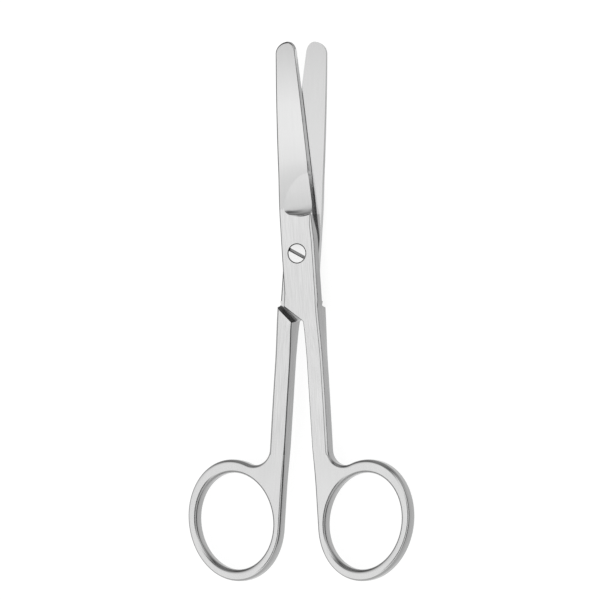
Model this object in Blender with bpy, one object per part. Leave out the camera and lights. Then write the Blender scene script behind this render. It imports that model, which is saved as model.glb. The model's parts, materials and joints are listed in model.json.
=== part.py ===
"""Blunt-tip operating scissors, straight, slightly open, lying with the screw head up.

Each half is drawn as it is forged and ground: a blank from its plan outline, then the lock recess,
the blade face and the screw bore are cut into it. The lower half is the upper one turned over.
A half is drawn closed, with the screw axis at x = y = 0, the blade along +Y and its outer face up.
z = 0 is the plane between the halves.
"""
import math
from collections import namedtuple

import bmesh
import bpy
from mathutils import Matrix, Vector

MM = 0.001

# Driving sizes: blade
blade_reach = 57.05 * MM         # screw axis to the tip
blade_start = 12.0 * MM          # screw axis to where the blade leaves the lock
tip_length = 3.25 * MM           # over which the tip rounds
spine_at_start = 4.95 * MM       # centre line to the back of the blade, at the lock
spine_at_bend = 4.52 * MM
spine_at_tip = 3.32 * MM
bend_reach = 25.0 * MM           # screw axis to where the back of the blade turns upright
edge_at_start = 4.98 * MM        # centre line to the cutting edge, at the lock
edge_at_tip = 2.63 * MM
spine_bow = 0.1 * MM             # how far the long sides bulge at half length
edge_bow = 0.12 * MM
tip_crown_x = 0.3 * MM           # the tip is highest on the cutting side of the centre line
blade_thick_start = 2.2 * MM
blade_thick_tip = 1.35 * MM
blade_slope = 3.0                # degrees that the ground face falls from the spine to the edge
edge_draft = 0.22 * MM           # lean of the ground face behind the cutting edge
bend_draft = 0.2 * MM            # lean of the blade's back
tip_draft = 0.05 * MM
blade_round = 0.12 * MM
edge_round = 0.06 * MM

# Driving sizes: lock
lock_thick = 3.2 * MM            # one half
lock_spine_side = 5.02 * MM      # centre line to the wall below the blade's back
lock_edge_side = 5.38 * MM       # centre line to the wall on the cutting side
lock_waist_side = 5.23 * MM      # the same wall where it turns in to the blade
lock_spine_draft = 0.72 * MM     # lean of the wall below the blade's back
lock_spine_reach = 10.4 * MM     # screw axis to where that lean ends, towards the shanks
lock_draft = 0.46 * MM
lock_chamfer = 0.55 * MM
lock_end_chamfer = 0.3 * MM
lock_narrow_reach = -2.0 * MM    # screw axis to where that wall starts to narrow
lock_waist_reach = 6.0 * MM      # screw axis to where it turns in to the blade
lock_flare = 1.8 * MM            # length over which the lock's wall runs into the shank's
corner_round = 0.6 * MM          # plan corners at the lock's slanted end
lock_end_reach = 13.2 * MM       # screw axis to the slanted end of the lock
lock_end_angle = 42.5            # degrees that the end slants from straight across
shoulder_gap = 0.5 * MM          # slanted end to the other half's shoulder, closed
shoulder_draft = 14.0            # degrees
ride_gap = 0.25 * MM             # between the halves' inner faces
runout_reach = 10.2 * MM         # screw axis to the end of the ground blade face
runout_radius = 4.5 * MM         # of the grinding wheel's edge
runout_tilt = 4.0                # degrees that the run-out slants across the blade
land_width = 1.4 * MM            # unground strip left along the spine at the lock
land_length = 18.0 * MM          # over which that strip sinks into the ground face
land_radius = 1.5 * MM
grind_lift = 0.03 * MM           # ground hollow above the face that it runs into

# Driving sizes: shank and finger ring
shank_inner = 0.36 * MM          # centre line to the inner wall, below the lock
shank_outer_start = 4.88 * MM    # centre line to the outer wall, below the lock
shank_outer_end = 4.74 * MM
shank_bow = 0.1 * MM             # how far the outer wall bulges at half length
shank_thick = 4.6 * MM
shank_taper_length = 17.0 * MM   # below the lock, from its thickness to the shank's
shank_round_in = 0.22 * MM
shank_round_out = 0.5 * MM
closed_gap = 0.16 * MM           # between the two rings, closed
ring_hole_long = 26.2 * MM
ring_hole_wide = 21.8 * MM
ring_band = 2.55 * MM            # mean of the two sides
ring_band_end = 3.35 * MM        # mean of the top and bottom of the oval
ring_hole_shift = 0.18 * MM      # hole to ring centre, towards the other ring
ring_hole_drop = 0.2 * MM        # hole to ring centre, away from the lock
ring_reach = 72.9 * MM           # screw axis to the ring's centre, along the scissors
ring_tilt = 14.6                 # degrees that the top of the oval leans out
ring_thick = 4.4 * MM
ring_round = 1.15 * MM
neck_fillet = 4.5 * MM           # between the shank and the ring

# Driving sizes: screw
head_diameter = 5.0 * MM
head_thick = 1.3 * MM
screw_diameter = 3.2 * MM
thread_diameter = 3.0 * MM
slot_width = 0.85 * MM
slot_depth = 0.6 * MM
slot_angle = -31.0               # degrees from straight across
running_clearance = 0.1 * MM     # radial, where the upper half turns on the screw
thread_clearance = 0.15 * MM     # radial, drawn gap between thread and tapped hole
screw_sink = 0.05 * MM           # screw ends below the faces
screw_chamfer = 0.12 * MM

# Pose
half_opening = 4.1               # degrees that each half is turned from closed

# Fineness of the curves
round_steps = 3
turn_steps = 32
ring_steps = 44
side_steps = 10
tip_steps = 7
corner_steps = 4
sharp_angle = 25.0
far = 200 * MM                   # how far the recess cutter reaches past the part

tip_start = blade_reach - tip_length

Wall = namedtuple("Wall", "draft round")   # lean of a wall, and the radius of its two rims
Rim = namedtuple("Rim", "x y draft round")  # a point of an outline with its wall

tip_wall = Wall(tip_draft, blade_round)
bend_wall = Wall(bend_draft, blade_round)
edge_wall = Wall(edge_draft, edge_round)
lock_spine_wall = Wall(lock_spine_draft, blade_round)
lock_end_wall = Wall(0.0, lock_end_chamfer)
lock_edge_wall = Wall(lock_draft, lock_chamfer)
shank_in_wall = Wall(0.0, shank_round_in)
shank_out_wall = Wall(0.0, shank_round_out)
ring_wall = Wall(0.0, ring_round)


def smooth(value):
    value = min(max(value, 0.0), 1.0)
    return value * value * (3.0 - 2.0 * value)


def mix(a, b, share):
    return a + (b - a) * share


def rim_between(place, first_wall, last_wall, share):
    """A point of an outline whose wall is part way between two others."""
    return Rim(place[0], place[1], mix(first_wall.draft, last_wall.draft, share),
               mix(first_wall.round, last_wall.round, share))


def bowed(start, end, bow, steps, first_wall, last_wall=None):
    """Points from start to end, both included, bulging to the right of the way they run."""
    along = Vector(end) - Vector(start)
    side = Vector((along.y, -along.x)).normalized()
    points = []
    for step in range(steps + 1):
        share = step / steps
        place = Vector(start) + along * share + side * (bow * 4.0 * share * (1.0 - share))
        points.append(rim_between(place, first_wall, last_wall or first_wall, share))
    return points


def arc(centre, radii, first, last, steps, first_wall, last_wall=None):
    """Points of an elliptical arc; first and last are degrees, both included."""
    points = []
    for step in range(steps + 1):
        angle = math.radians(mix(first, last, step / steps))
        place = (centre[0] + radii[0] * math.cos(angle), centre[1] + radii[1] * math.sin(angle))
        points.append(rim_between(place, first_wall, last_wall or first_wall, step / steps))
    return points


def rounded_corner(before, corner, after, radius, steps, first_wall, last_wall=None):
    """The points that round a corner of an outline."""
    back = (Vector(before) - Vector(corner)).normalized()
    ahead = (Vector(after) - Vector(corner)).normalized()
    half_angle = back.angle(ahead) / 2
    centre = Vector(corner) + (back + ahead).normalized() * (radius / math.sin(half_angle))
    first = Vector(corner) + back * (radius / math.tan(half_angle)) - centre
    last = Vector(corner) + ahead * (radius / math.tan(half_angle)) - centre
    sweep = math.atan2(first.x * last.y - first.y * last.x, first.dot(last))
    points = []
    for step in range(steps + 1):
        share = step / steps
        place = centre + Matrix.Rotation(sweep * share, 2) @ first
        points.append(rim_between(place, first_wall, last_wall or first_wall, share))
    return points


class Oval:
    """A finger ring's outline: angle 0 is its top, and angles run towards the shank."""

    def __init__(self, centre, half_long, half_wide):
        self.centre = Vector(centre)
        self.half_long = half_long
        self.half_wide = half_wide
        tilt = math.radians(ring_tilt)
        self.up = Vector((math.sin(tilt), math.cos(tilt)))
        self.side = Vector((-math.cos(tilt), math.sin(tilt)))

    def point(self, angle):
        along = self.up * (self.half_long * math.cos(angle))
        return self.centre + along + self.side * (self.half_wide * math.sin(angle))

    def normal(self, angle):
        along = self.up * (self.half_wide * math.cos(angle))
        return (along + self.side * (self.half_long * math.sin(angle))).normalized()

    def flank_angle(self):
        """Where the oval comes nearest to the other ring."""
        return math.atan2(self.half_wide * self.side.x, self.half_long * self.up.x) % math.pi

    def reach(self):
        """From the centre to the flank, straight across the scissors."""
        return math.hypot(self.half_long * self.up.x, self.half_wide * self.side.x)


def ring_outer():
    outer = Oval((0, -ring_reach), ring_hole_long / 2 + ring_band_end, ring_hole_wide / 2 + ring_band)
    outer.centre.x = closed_gap / 2 + outer.reach()
    return outer


def ring_hole():
    centre = ring_outer().centre - Vector((ring_hole_shift, ring_hole_drop))
    return Oval(centre, ring_hole_long / 2, ring_hole_wide / 2)


def neck(outer):
    """The fillet that touches the shank's outer wall and the ring: its centre, and the ring's
    angle where it touches."""
    low, high = 0.0, math.pi / 2
    wanted = shank_outer_end + neck_fillet
    for _ in range(60):
        middle = (low + high) / 2
        place = outer.point(middle) + outer.normal(middle) * neck_fillet
        if place.x > wanted:
            low = middle
        else:
            high = middle
    return place, middle


def lock_end_y(x):
    """The slanted end of the lock, below the screw: its place along y at this x."""
    slant = math.radians(lock_end_angle)
    return -(lock_end_reach + x * math.sin(slant)) / math.cos(slant)


def ring_share(y):
    """0 on the shank, 1 on the ring."""
    ring_top = -ring_reach + ring_hole_long / 2
    return smooth((ring_top + neck_fillet * 2 - y) / (neck_fillet * 3))


def blade_face(x, y):
    """Height of the blade's ground outer face."""
    along = (y - blade_start) / (blade_reach - blade_start)
    at_spine = mix(blade_thick_start, blade_thick_tip, along)
    return at_spine - (x + spine_at_bend) * math.tan(math.radians(blade_slope))


def blank_top(x, y):
    """Height of the forging's outer face."""
    if y > runout_reach:
        fade = smooth((y - runout_reach) / land_length)
        return mix(lock_thick, blade_face(x, y), fade)
    below = -lock_end_reach - y
    shank = mix(lock_thick, shank_thick / 2, smooth(below / shank_taper_length))
    return mix(shank, ring_thick / 2, ring_share(y))


def half_outline():
    """The plan outline of one half, anticlockwise from the crown of the tip."""
    spine = -lock_spine_side
    inner = shank_inner
    touching = closed_gap / 2
    crown = tip_crown_x
    outer = ring_outer()
    flank = outer.flank_angle()
    flank_y = outer.point(flank).y
    corner = (spine, lock_end_y(spine))
    crotch = (inner, lock_end_y(inner))

    points = arc((crown, tip_start), (crown + spine_at_tip, blade_reach - tip_start), 90, 180,
                 tip_steps, tip_wall)
    points += bowed((-spine_at_tip, tip_start), (-spine_at_bend, bend_reach), spine_bow,
                    side_steps, tip_wall, bend_wall)[1:]
    points += bowed((-spine_at_bend, bend_reach), (-spine_at_start, blade_start), 0.0,
                    tip_steps, bend_wall, lock_spine_wall)[1:]
    for place in ((spine, 0.0), (spine, -lock_spine_reach)):
        points.append(rim_between(place, lock_spine_wall, lock_spine_wall, 0.0))
    points += rounded_corner((spine, 0.0), corner, crotch, corner_round, corner_steps,
                             lock_end_wall)
    points += rounded_corner(corner, crotch, (touching, flank_y), corner_round, corner_steps,
                             lock_end_wall, shank_in_wall)

    for rim in bowed(points[-1][:2], (touching, flank_y), 0.0, side_steps * 2,
                     shank_in_wall)[1:-1]:
        points.append(rim_between(rim, shank_in_wall, ring_wall, ring_share(rim.y)))

    fillet, touch = neck(outer)
    turn = 2 * math.pi + touch - flank
    for step in range(ring_steps + 1):
        place = outer.point(flank + turn * step / ring_steps)
        points.append(rim_between(place, ring_wall, ring_wall, 0.0))

    inward = outer.normal(touch)
    first = math.degrees(math.atan2(-inward.y, -inward.x))
    points += arc(fillet, (neck_fillet, neck_fillet), first, -180, tip_steps, ring_wall,
                  shank_out_wall)[1:]

    points += bowed((shank_outer_end, fillet.y), (shank_outer_start, -lock_end_reach - lock_flare),
                    shank_bow, side_steps, shank_out_wall)[1:]
    for place in ((lock_edge_side, -lock_end_reach), (lock_edge_side, lock_narrow_reach),
                  (lock_waist_side, lock_waist_reach)):
        points.append(rim_between(place, lock_edge_wall, lock_edge_wall, 0.0))
    middle = ((lock_waist_side + edge_at_start) / 2, runout_reach)
    points.append(rim_between(middle, lock_edge_wall, edge_wall, 0.5))
    points += bowed((edge_at_start, blade_start), (edge_at_tip, tip_start), edge_bow, side_steps,
                    edge_wall)
    points += arc((crown, tip_start), (edge_at_tip - crown, blade_reach - tip_start), 0, 90,
                  tip_steps, edge_wall, tip_wall)[1:-1]
    return points


def outward(points, index):
    """Unit vector out of an anticlockwise outline at one of its points."""
    before = Vector(points[index - 1][:2])
    here = Vector(points[index][:2])
    after = Vector(points[(index + 1) % len(points)][:2])
    way = (here - before).normalized() + (after - here).normalized()
    return Vector((way.y, -way.x)).normalized()


def rim_row(points, turn, surface, face, into=1):
    """One row of a rounded rim: turn 0 is the wall and 90 degrees the face.
    face is 1 for an upper face and -1 for a lower one, and into is -1 round a hole."""
    row = []
    for index, rim in enumerate(points):
        inset = rim.draft + rim.round * (1 - math.cos(turn))
        place = Vector(rim[:2]) - outward(points, index) * (inset * into)
        height = surface(place.x, place.y) - face * rim.round * (1 - math.sin(turn))
        row.append((place.x, place.y, height))
    return row


def plate_rows(points, lower, upper, into=1):
    """Rows up the wall of a plate with both rims rounded."""
    turns = [math.pi / 2 * step / round_steps for step in range(round_steps + 1)]
    rows = [rim_row(points, turn, lower, -1, into) for turn in reversed(turns)]
    rows.append([(rim.x, rim.y, 0.0) for rim in points])
    rows += [rim_row(points, turn, upper, 1, into) for turn in turns]
    return rows


def add_rows(mesh, rows, inside_out=False):
    """Join rows of points by quads and give back the first and the last row's vertices."""
    made = [[mesh.verts.new(place) for place in row] for row in rows]
    count = len(made[0])
    for lower, upper in zip(made, made[1:]):
        for index in range(count):
            following = (index + 1) % count
            quad = [lower[index], lower[following], upper[following], upper[index]]
            mesh.faces.new(quad[::-1] if inside_out else quad)
    return made[0], made[-1]


def fill(mesh, loops, up):
    """Close a face between an outline and its holes."""
    edges = []
    for loop in loops:
        for index, vert in enumerate(loop):
            edges.append(mesh.edges.get((vert, loop[(index + 1) % len(loop)])))
    made = bmesh.ops.triangle_fill(mesh, use_beauty=True, edges=edges, normal=(0, 0, 1))
    for item in made["geom"]:
        if isinstance(item, bmesh.types.BMFace):
            item.normal_update()
            if (item.normal.z > 0) != up:
                item.normal_flip()


def make_object(name, mesh):
    """Turn a bmesh into an object. Its faces become triangles, so that each one is truly flat
    when it is cut."""
    bmesh.ops.triangulate(mesh, faces=mesh.faces)
    data = bpy.data.meshes.new(name)
    mesh.to_mesh(data)
    mesh.free()
    data.shade_smooth()
    data.set_sharp_from_angle(angle=math.radians(sharp_angle))
    made = bpy.data.objects.new(name, data)
    bpy.context.scene.collection.objects.link(made)
    return made


def forge_blank(name):
    """The forging of one half, as thick below z = 0 as above it, with its finger hole."""
    hole = ring_hole()
    inside = []
    for step in range(ring_steps):
        place = hole.point(2 * math.pi * step / ring_steps)
        inside.append(rim_between(place, ring_wall, ring_wall, 0.0))

    def blank_bottom(x, y):
        return -blank_top(x, y)

    mesh = bmesh.new()
    low_outer, high_outer = add_rows(mesh, plate_rows(half_outline(), blank_bottom, blank_top))
    hole_rows = plate_rows(inside, blank_bottom, blank_top, into=-1)
    low_hole, high_hole = add_rows(mesh, hole_rows, inside_out=True)
    fill(mesh, [low_outer, low_hole], up=False)
    fill(mesh, [high_outer, high_hole], up=True)
    return make_object(name, mesh)


def recess_cutter(name):
    """What is milled off the inner side, down to the shoulder that meets the other half's lock."""
    slant = math.radians(lock_end_angle)
    away = Vector((math.sin(slant), -math.cos(slant)))
    across = Vector((math.cos(slant), math.sin(slant)))
    depth = lock_thick * 2
    spread = depth * math.tan(math.radians(shoulder_draft))
    reach = lock_end_reach + shoulder_gap
    rows = []
    for height, end in ((-depth, reach + spread), (ride_gap / 2, reach)):
        row = []
        for along, out in ((-far, -far), (far, -far), (far, end), (-far, end)):
            place = across * along + away * out
            row.append((place.x, place.y, height))
        rows.append(row[::-1])
    mesh = bmesh.new()
    bottom, top = add_rows(mesh, rows)
    mesh.faces.new(bottom[::-1])
    mesh.faces.new(top)
    return make_object(name, mesh)


def face_cutter(name):
    """What the wheel grinds off the blade's outer face, with the hollow where it runs out."""
    depth = lock_thick - blade_face(0.0, runout_reach)
    lead = runout_radius - math.sqrt(runout_radius ** 2 - (runout_radius - depth) ** 2)
    low = runout_reach - lead
    left = land_width - spine_at_bend
    right = lock_edge_side * 2
    high = blade_reach * 1.1
    drop = (right - left) * math.tan(math.radians(runout_tilt))

    land = Wall(0.0, land_radius)
    wheel = Wall(0.0, runout_radius)
    points = rounded_corner((left, high), (left, low), (right, low - drop), runout_radius,
                            corner_steps * 2, land, wheel)
    points += bowed(points[-1][:2], (right, low - drop), 0.0, corner_steps, wheel)[1:]
    points.append(rim_between((right, high), land, land, 0.0))
    points += bowed((left, high), points[0][:2], 0.0, side_steps, land)[:-1]

    def ground(x, y):
        return blade_face(x, y) + grind_lift

    turns = [math.pi / 2 * step / (round_steps * 3) for step in range(round_steps * 3 + 1)]
    rows = [rim_row(points, turn, ground, -1) for turn in reversed(turns)]
    rows.append([(rim.x, rim.y, lock_thick * 3) for rim in points])
    mesh = bmesh.new()
    bottom, top = add_rows(mesh, rows)
    fill(mesh, [bottom], up=False)
    fill(mesh, [top], up=True)
    return make_object(name, mesh)


def turned(name, profile, steps=None):
    """A solid turned about z from (radius, height) pairs, from the bottom up."""
    count = steps or turn_steps
    rows = []
    for radius, height in profile:
        row = []
        for step in range(count):
            angle = 2 * math.pi * step / count
            row.append((radius * math.cos(angle), radius * math.sin(angle), height))
        rows.append(row)
    mesh = bmesh.new()
    bottom, top = add_rows(mesh, rows)
    mesh.faces.new(bottom[::-1])
    mesh.faces.new(top)
    return make_object(name, mesh)


def head_bore(name):
    """Clearance bore and head seat of the upper half."""
    bore = screw_diameter / 2 + running_clearance
    seat = head_diameter / 2 + running_clearance
    floor = lock_thick - screw_sink - head_thick - running_clearance
    return turned(name, [(bore, -lock_thick), (bore, floor), (seat, floor),
                         (seat, lock_thick * 2)])


def thread_bore(name):
    """Tapped hole of the lower half, drawn as a plain bore."""
    bore = thread_diameter / 2 + thread_clearance
    return turned(name, [(bore, -lock_thick), (bore, lock_thick * 2)])


def cut(target, cutter):
    """Take the cutter's solid off the target; the cutter stays with it."""
    cutter.parent = target
    cutter.hide_render = True
    cutter.display_type = "WIRE"
    cutter.hide_set(True)
    step = target.modifiers.new(cutter.name, "BOOLEAN")
    step.operation = "DIFFERENCE"
    step.solver = "EXACT"
    step.object = cutter


def steel(name, colour, roughness):
    made = bpy.data.materials.new(name)
    made.use_nodes = True
    shader = made.node_tree.nodes["Principled BSDF"]
    shader.inputs["Base Color"].default_value = (*colour, 1.0)
    shader.inputs["Metallic"].default_value = 1.0
    shader.inputs["Roughness"].default_value = roughness
    return made


def make_half(name, bore, material):
    half = forge_blank(name)
    cut(half, recess_cutter(name + "_recess"))
    cut(half, face_cutter(name + "_blade_grind"))
    cut(half, bore(name + "_bore"))
    half.data.materials.append(material)
    return half


def make_screw(name, material):
    """Slotted flush screw: head, plain journal, and the thread that stops in the lower half."""
    top = lock_thick - screw_sink
    seat = top - head_thick
    head = head_diameter / 2
    journal = screw_diameter / 2
    thread = thread_diameter / 2
    screw = turned(name, [(thread - screw_chamfer, -top), (thread, screw_chamfer - top),
                          (thread, 0.0), (journal, 0.0), (journal, seat), (head, seat),
                          (head, top - screw_chamfer), (head - screw_chamfer, top)])
    slot = bmesh.new()
    bmesh.ops.create_cube(slot, size=1.0)
    size = Vector((head_diameter * 1.5, slot_width, slot_depth * 2))
    bmesh.ops.scale(slot, vec=size, verts=slot.verts)
    bmesh.ops.translate(slot, vec=(0, 0, top), verts=slot.verts)
    bmesh.ops.rotate(slot, matrix=Matrix.Rotation(math.radians(slot_angle), 3, "Z"),
                     verts=slot.verts)
    cut(screw, make_object(name + "_slot", slot))
    screw.data.materials.append(material)
    return screw


def lowest_and_highest(objects):
    graph = bpy.context.evaluated_depsgraph_get()
    low = Vector((math.inf,) * 3)
    high = -low
    for item in objects:
        seen = item.evaluated_get(graph)
        for vert in seen.data.vertices:
            place = seen.matrix_world @ vert.co
            low = Vector(map(min, low, place))
            high = Vector(map(max, high, place))
    return low, high


def main():
    for item in list(bpy.data.objects):
        bpy.data.objects.remove(item)

    satin = steel("satin_stainless", (0.62, 0.62, 0.63), 0.32)
    bright = steel("bright_stainless", (0.70, 0.70, 0.71), 0.25)

    pivot = bpy.data.objects.new("pivot_axis", None)
    bpy.context.scene.collection.objects.link(pivot)
    upper = make_half("upper_half", head_bore, satin)
    lower = make_half("lower_half", thread_bore, satin)
    screw = make_screw("pivot_screw", bright)
    pieces = (upper, lower, screw)
    for piece in pieces:
        piece.parent = pivot
    opening = math.radians(half_opening)
    upper.rotation_euler = (0.0, 0.0, opening)
    lower.rotation_euler = (0.0, math.pi, -opening)

    bpy.context.view_layer.update()
    low, high = lowest_and_highest(pieces)
    pivot.location = (-(low.x + high.x) / 2, -(low.y + high.y) / 2, -low.z)
    bpy.context.view_layer.update()


main()
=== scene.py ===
"""Blunt-tip operating scissors in satin stainless steel, slightly open, seen from above."""
import json
import math
from collections import namedtuple

import bmesh
import bpy
from mathutils import Matrix, Vector
from mathutils.geometry import delaunay_2d_cdt
from mathutils.kdtree import KDTree


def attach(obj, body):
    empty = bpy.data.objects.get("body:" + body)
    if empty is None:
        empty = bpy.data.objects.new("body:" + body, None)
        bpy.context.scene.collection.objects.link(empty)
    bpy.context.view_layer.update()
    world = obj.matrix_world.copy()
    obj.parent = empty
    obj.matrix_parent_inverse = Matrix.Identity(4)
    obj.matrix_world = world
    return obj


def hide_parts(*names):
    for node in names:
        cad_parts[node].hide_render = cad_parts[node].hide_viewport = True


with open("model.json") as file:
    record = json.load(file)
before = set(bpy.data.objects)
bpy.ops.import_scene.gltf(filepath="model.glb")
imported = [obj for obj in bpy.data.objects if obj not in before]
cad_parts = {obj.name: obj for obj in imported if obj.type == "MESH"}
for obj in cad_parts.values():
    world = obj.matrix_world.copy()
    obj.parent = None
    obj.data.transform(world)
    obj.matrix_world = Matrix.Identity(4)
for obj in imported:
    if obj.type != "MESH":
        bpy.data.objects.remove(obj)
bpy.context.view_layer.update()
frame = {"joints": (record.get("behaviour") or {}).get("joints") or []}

MM = 0.001
pivot = Vector(frame["joints"][0]["pos_m"])

# Blade
blade_reach = 57.05 * MM
tip_length = 3.25 * MM
blade_start = 12.0 * MM
spine_at_start = 4.95 * MM
spine_at_bend = 4.52 * MM
spine_at_tip = 3.32 * MM
bend_reach = 25.0 * MM
spine_bow = 0.1 * MM
edge_at_start = 4.98 * MM
edge_at_tip = 2.63 * MM
edge_bow = 0.12 * MM
tip_crown = 0.3 * MM
blade_thick_start = 1.95 * MM
blade_thick_tip = 1.35 * MM
blade_thin_power = 1.8
blade_slope = 3.2

# Lock
lock_thick = 3.2 * MM
lock_spine_side = 5.02 * MM
lock_spine_reach = 10.4 * MM
lock_edge_side = 5.38 * MM
lock_step_reach = 3.0 * MM
lock_step_side = 5.15 * MM
lock_step_length = 4.5 * MM
lock_end_reach = 13.2 * MM
lock_end_slant = 38.6
lock_end_line = 14.11 * MM
lock_corner = 0.6 * MM
lock_end_margin = 2.4 * MM
lock_turn = 3.0 * MM
shoulder_line = 14.19 * MM
shoulder_slant = 40.7
shoulder_draft = 5.4
shoulder_edge = 0.12 * MM
shoulder_edge_lean = 45.0
ride_gap = 0.25 * MM
relief = 0.55 * MM
relief_at_blade = 0.44 * MM
relief_end = 0.02 * MM
relief_fade = 5.5 * MM
runout_reach = 9.87 * MM
runout_radius = 4.5 * MM
runout_middle = 1.5 * MM
runout_bend = 10.0 * MM
land_side = 3.7 * MM
land_length = 16.0 * MM
land_radius = 22.0 * MM
land_sink = 0.04 * MM
runout_blend = 1.2 * MM

# Shank and finger ring
shank_inner = 0.36 * MM
shank_outer_start = 4.88 * MM
shank_outer_end = 4.74 * MM
shank_bow = 0.1 * MM
shank_thick = 4.5 * MM
shank_taper_length = 17.0 * MM
shank_flare = 1.8 * MM
closed_gap = 0.16 * MM
ring_hole_long = 26.2 * MM
ring_hole_wide = 21.8 * MM
ring_band = 2.55 * MM
ring_band_end = 3.35 * MM
ring_hole_shift = 0.18 * MM
ring_hole_drop = 0.2 * MM
ring_reach = 72.9 * MM
ring_tilt = 14.6
ring_thick = 4.3 * MM
neck_fillet = 4.5 * MM
ring_start = -ring_reach + ring_hole_long / 2 + neck_fillet * 2
ring_blend = neck_fillet * 3

# Screw
head_diameter = 5.0 * MM
head_thick = 1.3 * MM
screw_diameter = 3.2 * MM
slot_width = 0.9 * MM
slot_depth = 0.6 * MM
slot_angle = -31.0
running_clearance = 0.15 * MM
screw_sink = 0.04 * MM
screw_edge = 0.08 * MM
slot_lip = 0.02 * MM
slot_margin = 1.02

half_opening = 4.1

# Camera: degrees about the scissors' length, and where the screw's axis is in the picture
camera_yaw = 23.0
camera_distance = 0.6
picture_width = 600
pixel = 0.2688 * MM
pivot_across = 301.5
pivot_down = 253.4

# Studio
floor_size = 1.5
floor_gap = 0.02 * MM
floor_grey = 0.25
floor_glow = 0.87
tent_light = 1.06
horizon_blend = 0.01

# The tent's three dark gaps. Each has stops of (place, light) and of (bearing, how much the gap
# shows). A bearing is 0 at the left, 0.25 at the near end, 0.5 at the right and 0.75 at the far
# end. The right and low gaps' places go from the zenith at 0 to the nadir at 1, and the far gap's
# from 0 across the scissors to 1 straight at the far end.
right_gap = ((0.0, 1.0), (0.128, 1.0), (0.15, 0.06), (0.24, 0.06), (0.26, 0.95), (1.0, 0.95))
right_bearings = ((0.0, 0.0), (0.24, 0.0), (0.3, 1.0), (0.54, 0.95), (0.6, 0.05), (0.66, 0.05),
                  (0.71, 0.9), (0.8, 0.6), (0.86, 0.0), (1.0, 0.0))
low_gap = ((0.0, 1.0), (0.4, 1.0), (0.42, 0.03), (0.48, 0.03), (0.49, 1.0), (1.0, 1.0))
low_bearings = ((0.0, 0.0), (0.38, 0.0), (0.44, 1.0), (0.56, 1.0), (0.62, 0.0), (1.0, 0.0))
far_gap = ((0.0, 1.0), (0.1, 0.99), (0.45, 0.8), (0.7, 0.45), (0.88, 0.2), (0.93, 0.2),
           (0.95, 1.0), (1.0, 1.0))
far_bearings = ((0.0, 0.3), (0.03, 0.0), (0.6, 0.0), (0.65, 0.1), (0.7, 1.0), (0.93, 1.0),
                (1.0, 0.3))

# Finishes: tone is how much their grey varies, grain how wide its lines are and grain_length how
# long they are
Finish = namedtuple("Finish", "grey roughness tone")
satin_finish = Finish(0.66, 0.15, 0.09)
# Painted shade: the walls get a darker grey than the faces of the same steel
side_painted_shade_finish = Finish(0.345, 0.15, 0.16)
# Painted shade: arrises, the relief under the lock's edge and the bore round the screw head get a
# near-black grey
rim_painted_shade_finish = Finish(0.12, 0.3, 0.1)
# Painted shade: the shoulder wall in the recess gets a dark grey; its higher roughness is its
# milled surface
shoulder_painted_shade_finish = Finish(0.2, 0.3, 0.4)
inner_finish = Finish(0.66, 0.14, 0.02)
blade_finish = Finish(0.66, 0.16, 0.02)
# Painted shade: the screw's slot gets a dark grey; its higher roughness is its milled surface
slot_painted_shade_finish = Finish(0.2, 0.3, 0.6)
screw_finish = Finish(0.84, 0.22, 0.04)
grain = 0.3 * MM
grain_length = 7.0 * MM
side_grain = 0.35 * MM
ring_polish_start = -33.0 * MM
ring_polish_end = -45.0 * MM
ring_grain = 0.25
grain_depth = 0.001 * MM
crossing_turn = 62.0
crossing_share = 0.3
smear_share = 0.5
grain_range = 0.25
roughness_change = 0.15
noise_roughness = 0.6
noise_mean = 0.5
# Painted shade on roundings and arrises that face the far end and the left: the share of grey they
# keep
far_side_painted_shade = 0.5
left_side_painted_shade = 0.4
# Painted shade on the inner face below the lock: the share of grey it keeps
recess_painted_shade = 0.55
smear = 9.0 * MM
turning_pitch = 0.16 * MM
turning_share = 0.3
turning_range = (-0.1, 1.1)
# Painted reflection: the scale of its stops below
painted_reflection_range = 1.25

# Painted reflection, as shares of the scale above, from the start of the blade at 0 to its tip at
# 1:
# the blade's face is lightest in the middle, and the inner face darker towards the tip
blade_painted_reflection = ((0.0, 0.72), (0.05, 0.74), (0.11, 0.79), (0.27, 0.87), (0.44, 0.93), (0.62, 0.92),
                (0.8, 0.81), (0.95, 0.71), (1.0, 0.69))
inner_painted_reflection = ((0.0, 0.82), (0.5, 0.81), (0.8, 0.77), (1.0, 0.72))

# The parts of a surface's normal along y, x and z over which each painted shade sets in
far_facing = (0.25, 0.75)
left_facing = (-0.75, -0.3)
upward_facing = (0.1, 0.35)

# Fineness
spacing = 0.45 * MM
ring_steps = 150
arc_steps = 14
corner_step = 7.0
turn_steps = 96
turning_rail = 1.0
screw_edge_steps = 3
search_steps = 60
face_grid = 0.5 * MM
face_margin = 0.6
join_within = 1e-6
# Rows above a wall that keep its painted shade
painted_shade_steps = 5
grind_step = 0.12 * MM
grind_rows = 48
grind_columns = 90
profile_steps = 8
arris_share = 0.34
finish_blend = 0.15
sharp_angle = 24.0
flat_weight = 50
sliver = 0.0005 * MM
axis_weld = 0.002 * MM
cutter_reach = 200 * MM

tip_start = blade_reach - tip_length

# A wall leans in by draft, then turns into the face over inset and drop. crisp is 0 for a rounded
# turn and 1 for a ground chamfer. finish is 0 where that turn is as bright as the face, 1 where it
# has the wall's painted shade and 2 where its painted shade is darker still, and -1 where the wall
# too is bright.
Wall = namedtuple("Wall", "draft inset drop crisp finish")
Rim = namedtuple("Rim", "x y wall")

# The finishes that a forging's faces are numbered by; side and rim are painted shade
forged_finishes = ("satin", "side", "blade", "rim")
SATIN, SIDE, BLADE, RIM = range(4)

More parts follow.
